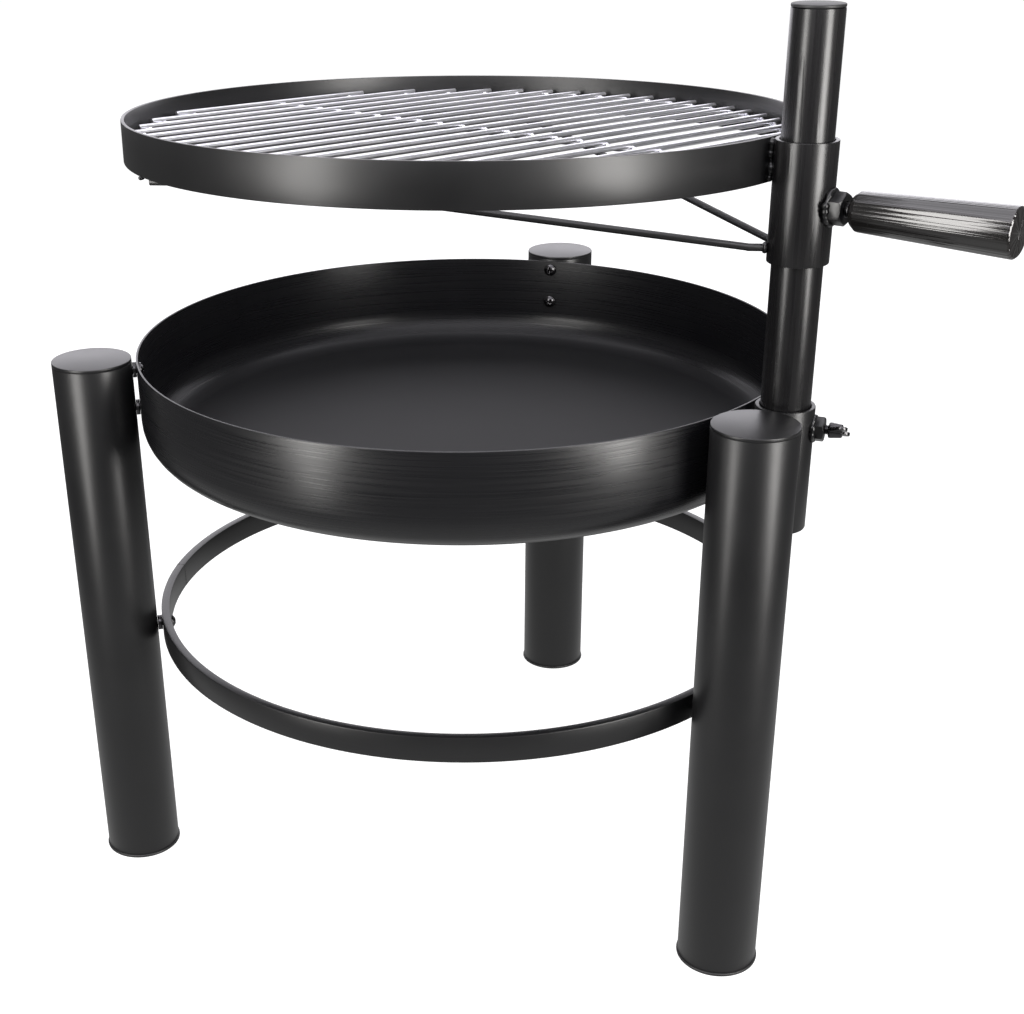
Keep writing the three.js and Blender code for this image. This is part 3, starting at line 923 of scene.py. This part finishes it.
# %% Collar, nut and stud
COLLAR_NUT = (26, 6.4)  # across corners, and the bore's radius
collar_low, collar_high = heights("collar_tube")
collar = pipe("collar_tube_made", sleeve_size, SLEEVE_BORE, collar_low, collar_high, FINE, edge=0.7)
stands_for(put(collar, here), "collar_tube", gloss_black)
near, far = reach("collar_nut", clamp_origin, grip_axis)
nut = hex_nut("collar_nut_made", COLLAR_NUT[0], far - near, COLLAR_NUT[1])
stands_for(put(nut, pointing(clamp_origin + grip_axis * near * MM, grip_axis)), "collar_nut", weld_black)
stud_near, stud_far = reach("clamp_stud", clamp_origin, grip_axis)
clamp_stud = threaded_stud("clamp_stud_made", *M12, stud_near, stud_far)
stands_for(put(clamp_stud, pointing(clamp_origin, grip_axis)), "clamp_stud", black_oxide, 25)

# %% Grip
GRIP_NEAR = 15.3        # radius at the stud's end
grip_low, grip_high = heights("grip")
GRIP_FAR = (grip_high - grip_low) / 2
SHOULDER = (3.6, 4.6)   # the chamfer at the stud's end: inwards, and along the grip
FAR_EDGE = 1.6
BORE, BORE_DEPTH = 6.4, 34
start, end = reach("grip", clamp_origin, grip_axis)
bore_end = start + BORE_DEPTH
grip = turned("grip_made", [
    (BORE, start), (GRIP_NEAR - SHOULDER[0], start), (GRIP_NEAR, start + SHOULDER[1]),
    (GRIP_FAR, end - FAR_EDGE), (GRIP_FAR - FAR_EDGE, end), (0, end), (0, bore_end),
    (BORE, bore_end)], FINE)
soften(grip, 0.6, 3, 20)
stands_for(put(grip, pointing(clamp_origin, grip_axis)), "grip", lacquer, 30)

# %% [markdown]
# ## Grate hoop
# The hoop is a band of flat bar, tangent to the collar. It hangs a degree or two out of level, so
# it and everything on it are modelled flat round the origin and then put in the hoop's own place:
# its normal is the direction in which the grid lifts out, and its X points to the collar.

# %% Grate hoop
HOOP_BAR = 3
FLAT_DEPTH = 0.35       # millimetres, how far the CAD hoop's flats lie inside its corners
hoop_normal = axis_of["grid_lift_out"]
hoop_middle = middle("grate_hoop")
to_mast = (mast_axis - level(hoop_middle)).normalized()
hoop_x = (to_mast - UP * to_mast.dot(hoop_normal) / hoop_normal.z).normalized()
hoop_y = hoop_normal.cross(hoop_x)
hoop_far = reach("grate_hoop", hoop_middle, hoop_x)[1]
under, over = reach("grate_hoop", hoop_middle, hoop_normal)
hoop_tall = over - under
hoop_foot = hoop_middle + hoop_normal * under * MM
on_hoop = Matrix.Translation(hoop_foot) @ Matrix((hoop_x, hoop_y, hoop_normal)).transposed().to_4x4()
hoop_size = hoop_far - FLAT_DEPTH
hoop = pipe("grate_hoop_made", hoop_size, hoop_size - HOOP_BAR, 0, hoop_tall, HOOP_STEPS, edge=0.6)
stands_for(put(hoop, on_hoop), "grate_hoop", satin_black)
mast_reach = (mast_axis - level(hoop_foot)).length / MM
print("hoop is", round(2 * hoop_size), "mm wide, its middle", round(mast_reach), "mm from the mast")

# %% [markdown]
# ## Braces
# Two rods run from low on the collar to under the far side of the hoop. Each leaves the collar
# level, bends up along a straight slope and flattens out again where it is welded under the band.

# %% Braces
BRACE = 3               # half the rod's thickness
SPREAD = 29.9           # degrees, each rod from the line between mast and hoop
BRACE_RUN = (25.2, 40, 430, 513)   # from the mast axis: end, lower bend, upper bend, far end
BRACE_DROP = 48.5
BRACE_BEND = 14         # radius of its bends
UNDER_BAND = -BRACE - 0.1


def beside_mast(distance, turn, height):
    """A point in the hoop's own frame, at a distance and a turn from the mast axis."""
    angle = math.radians(turn)
    return Vector((mast_reach - distance * math.cos(angle), distance * math.sin(angle), height)) * MM


brace_ends = {}
for node, side in (("brace_left", 1), ("brace_right", -1)):
    drops = (-BRACE_DROP, -BRACE_DROP, UNDER_BAND, UNDER_BAND)
    route = [on_hoop @ beside_mast(d, side * SPREAD, z) for d, z in zip(BRACE_RUN, drops)]
    brace = bent_rod(f"{node}_made", BRACE, route, BRACE_BEND)
    stands_for(brace, node, satin_black)
    brace_ends[node] = route

# %% [markdown]
# ## Grid
# The grid is welded wire: twenty rods laid across a rim wire and one cross bar. Rod ends are cropped
# square and stand a little past the rim. At each crossing the wires have sunk into each other in the
# welding press, with a small nugget of pushed-out metal, drawn as a low drop.

# %% Cooking grid
GRID_REACH = 279.5
ROD = 2.25
RODS = 20
PITCH = 26.8
GRID_TURN = 80.5        # degrees, the rods against the line from hoop to mast
ROD_LEVEL = 20
RIM_WIRE = 2.5
RIM_REACH = 272
BAR_OFFSET = 12
NUGGET = 1.9            # radius of a drop, and how far it lies beside the rod's middle
NUGGET_RISE = 1.7       # above the rim wire's middle
SINK = 0.8              # how far rod and rim wire are pressed into each other
rim_level = ROD_LEVEL - ROD - RIM_WIRE + SINK


def wire(name, size, half_length, offset, height):
    """A cropped wire along X."""
    piece = begin("cylinder", name, vertices=14, radius=size * MM, depth=2 * half_length * MM,
                  location=(0, offset * MM, height * MM), rotation=(0, math.pi / 2, 0))
    leave_edit()
    return soften(piece, 0.35, 1, 50)


def nugget(x, y):
    place = Vector((x, y, rim_level + NUGGET_RISE)) * MM
    piece = begin("ico_sphere", "nugget", subdivisions=1, radius=NUGGET * MM, location=place)
    leave_edit()
    return piece


grid_parts = []
for i in range(RODS):
    offset = (i - (RODS - 1) / 2) * PITCH
    half = math.sqrt(GRID_REACH ** 2 - offset ** 2)
    grid_parts.append(wire("rod", ROD, half, offset, ROD_LEVEL))
    rim_half = math.sqrt(RIM_REACH ** 2 - offset ** 2)
    grid_parts += [nugget(x, offset + side * NUGGET)
                   for x in (-rim_half, BAR_OFFSET, rim_half) for side in (1, -1)]
grid_parts.append(begin(
    "torus", "rim_wire", major_radius=RIM_REACH * MM, minor_radius=RIM_WIRE * MM, major_segments=160,
    minor_segments=12, location=(0, 0, rim_level * MM)))
leave_edit()
bar_half = math.sqrt(RIM_REACH ** 2 - BAR_OFFSET ** 2)
cross_bar = wire("cross_bar", RIM_WIRE, bar_half, -BAR_OFFSET, rim_level)
put(cross_bar, Matrix.Rotation(math.pi / 2, 4, "Z"))
grid_parts.append(cross_bar)
grid = merged("cooking_grid_made", grid_parts)
put(grid, on_hoop @ Matrix.Rotation(math.radians(GRID_TURN), 4, "Z"))
stands_for(grid, "cooking_grid", chrome, 40)
print("grid has", RODS, "rods and", len(grid.data.polygons), "faces")

# %% [markdown]
# ## Lugs
# Four small tabs inside the band carry the grid. They are sheared from strip: the inner corners are
# cut off at an angle, and the edges are slightly rounded.

# %% Lugs
LUG_ANGLES = (40, 130, 220, 310)
LUG = (26, 14, 3)       # along the radius, across it, and thick
LUG_CROP = 4            # the cut at each inner corner
lug_top = rim_level - RIM_WIRE - GAP
for i, angle in enumerate(LUG_ANGLES):
    lug = begin("cube", f"grid_rest_lug_{i + 1}_made", size=1)
    middle_out = hoop_size - HOOP_BAR - LUG[0] / 2
    bpy.ops.transform.resize(value=tuple(v * MM for v in LUG))
    bpy.ops.transform.translate(value=(middle_out * MM, 0, (lug_top - LUG[2] / 2) * MM))
    pick(lug, "EDGE", lambda edge: abs((edge.verts[0].co - edge.verts[1].co).z) > MM
         and edge.verts[0].co.x < middle_out * MM)
    bpy.ops.mesh.bevel(offset=LUG_CROP * MM, segments=1)
    leave_edit()
    soften(lug, 0.4)
    put(lug, on_hoop @ Matrix.Rotation(math.radians(angle), 4, "Z"))
    stands_for(lug, f"grid_rest_lug_{i + 1}", satin_black)

# %% [markdown]
# ## Welds
# Beads go where two seen pieces are joined for good: hoop to collar on both sides, braces to collar
# and band, and round the nuts' feet. They ride on the body of the pieces that they join.

# %% Welds on the grate arm
BEAD_SIDE = 8.2         # millimetres beside the line where hoop and collar touch
BEAD_OUT = 0.9          # outside the hoop's face
HOOP_BEAD = 3.4
BRACE_BEAD = 1.9
for side, name in ((1, "hoop_weld_left"), (-1, "hoop_weld_right")):
    foot, top = [Vector((hoop_size + BEAD_OUT, side * BEAD_SIDE, height)) * MM
                 for height in (3, hoop_tall - 5)]
    bead = weld(name, [on_hoop @ foot, on_hoop @ top], HOOP_BEAD, uneven=0.4)
    extra(bead, "grate_arm", weld_black)

for node, route in brace_ends.items():
    along = (route[1] - route[0]).normalized()
    across = hoop_normal.cross(along)
    ring_of = [route[0] + (across * math.cos(a) + hoop_normal * math.sin(a)) * BRACE * MM
               for a in (math.radians(t) for t in range(0, 360, 45))]
    bead = weld(f"{node}_collar_weld", ring_of + ring_of[:1], BRACE_BEAD, uneven=0.35)
    extra(bead, "grate_arm", weld_black)
    crossing = (hoop_size - HOOP_BAR / 2) * MM
    points = [route[3].lerp(route[2], t / 200) for t in range(201)]
    band = min(points, key=lambda p: abs((on_hoop.inverted() @ p).xy.length - crossing))
    over, beside = hoop_normal * 2.2 * MM, across * 2.4 * MM
    bead = weld(f"{node}_band_weld", [band - beside + over, band + beside + over], BRACE_BEAD, uneven=0.3)
    extra(bead, "grate_arm", weld_black)


def nut_weld(name, origin, axis, out, size, body, fat):
    """A bead round a nut's foot, at a distance out along its axis. Sizes are in millimetres."""
    place = pointing(origin, axis)
    turns = [math.radians(t) for t in range(0, 361, 15)]
    route = [place @ (Vector((size * math.cos(t), size * math.sin(t), out)) * MM) for t in turns]
    extra(weld(name, route, fat, uneven=0.4), body, weld_black)


nut_weld("collar_nut_weld", clamp_origin, grip_axis, out=25.0, size=12.2, body="grate_arm", fat=2.2)
nut_weld("wing_boss_weld", wing_origin, wing_axis, out=24.2, size=9.6, body="root", fat=1.8)

# %% [markdown]
# ## Studio
# A white studio is mostly about what a black object mirrors. The floor is white all over, but only
# a pool of it near the pit is bright enough to light the paint from below, so the legs stay dark at
# their tops. A wide wall of light behind the pit shows in the flat tops, and lights overhead and
# high in front whiten the chrome. A tall box on each side draws the soft upright highlights on the
# tubes, and a small one at its foot carries them down to the ground.

# %% Floor
FLOOR = 60.0            # metres, so wide that its edge is lost in the white
POOL = (0.6, 1.5)       # metres from the middle: full glow inside, little outside


def studio_floor(name, glow, far_glow, shown):
    """A white floor that glows in a pool round the pit. Seen directly it is nearly plain white."""
    material, tree, place = new_finish(name)
    out = add(tree, "VectorMath", {0: (place, "Object")}, operation="LENGTH")
    pool = add(tree, "MapRange", {"Value": (out, "Value"), "From Min": POOL[0], "From Max": POOL[1],
                                  "To Min": glow, "To Max": far_glow})
    lamp = add(tree, "Emission", {"Strength": (pool, 0)})
    page = add(tree, "Emission", {"Strength": shown})
    paper = add(tree, "BsdfDiffuse", {"Color": (0.25, 0.25, 0.25, 1)})
    lit = add(tree, "AddShader", {0: (page, 0), 1: (paper, 0)})
    seen = add(tree, "LightPath")
    both = add(tree, "MixShader", {0: (seen, "Is Camera Ray"), 1: (lamp, 0), 2: (lit, 0)})
    add(tree, "OutputMaterial", {"Surface": (both, 0)})
    return material


floor = begin("plane", "floor", size=FLOOR)
leave_edit()
floor.data.materials.append(studio_floor("white_floor", glow=0.55, far_glow=0.12, shown=0.97))

# %% Lights


def softbox(name, bearing, distance, height, size, glow, tint, aim_height=0.5):
    """An area light aimed at the pit. The bearing is in degrees clockwise from the camera's heading."""
    angle = math.radians(HEADING + bearing)
    place = bowl_axis + Vector((math.sin(angle) * distance, math.cos(angle) * distance, height))
    data = bpy.data.lights.new(name, "AREA")
    data.shape = "RECTANGLE"
    data.size, data.size_y = size
    data.energy = glow * math.pi * size[0] * size[1]
    data.color = tint
    light = bpy.data.objects.new(name, data)
    bpy.context.scene.collection.objects.link(light)
    aim = bowl_axis + UP * aim_height - place
    light.matrix_world = Matrix.Translation(place) @ aim.to_track_quat("-Z", "Y").to_matrix().to_4x4()
    light.visible_camera = False


WARM = (1.0, 0.98, 0.955)
COOL = (0.96, 0.94, 1.0)
softbox("back_wall", 0, 3.0, 1.7, (5.0, 2.4), 2.0, COOL)
softbox("ceiling", 0, 0.01, 2.6, (2.6, 2.6), 2.2, COOL)
softbox("front_top", 180, 1.5, 2.2, (2.6, 1.2), 3.0, COOL)
softbox("left_box", 226, 1.33, 1.1, (0.42, 1.5), 11.0, WARM, 1.1)
softbox("left_foot", 226, 1.33, 0.2, (0.2, 0.3), 9.0, WARM, 0.2)
softbox("right_box", 137, 1.9, 1.1, (0.62, 1.5), 15.0, WARM, 1.1)
softbox("right_foot", 133, 1.9, 0.2, (0.32, 0.3), 14.0, WARM, 0.2)

world = bpy.data.worlds.new("studio")
bpy.context.scene.world = world
world.use_nodes = True
world.node_tree.nodes.clear()
seen = add(world.node_tree, "LightPath")
dim = add(world.node_tree, "Background", {"Color": (1, 1, 1, 1), "Strength": 0.2})
bright = add(world.node_tree, "Background", {"Color": (1, 1, 1, 1), "Strength": 1.0})
both = add(world.node_tree, "MixShader", {0: (seen, "Is Camera Ray"), 1: (dim, 0), 2: (bright, 0)})
add(world.node_tree, "OutputWorld", {"Surface": (both, 0)})
bpy.context.scene.view_settings.view_transform = "Standard"

# %% [markdown]
# ## Last step
# At the end the view layer is brought up to date once more.

# %% Update
bpy.context.view_layer.update()
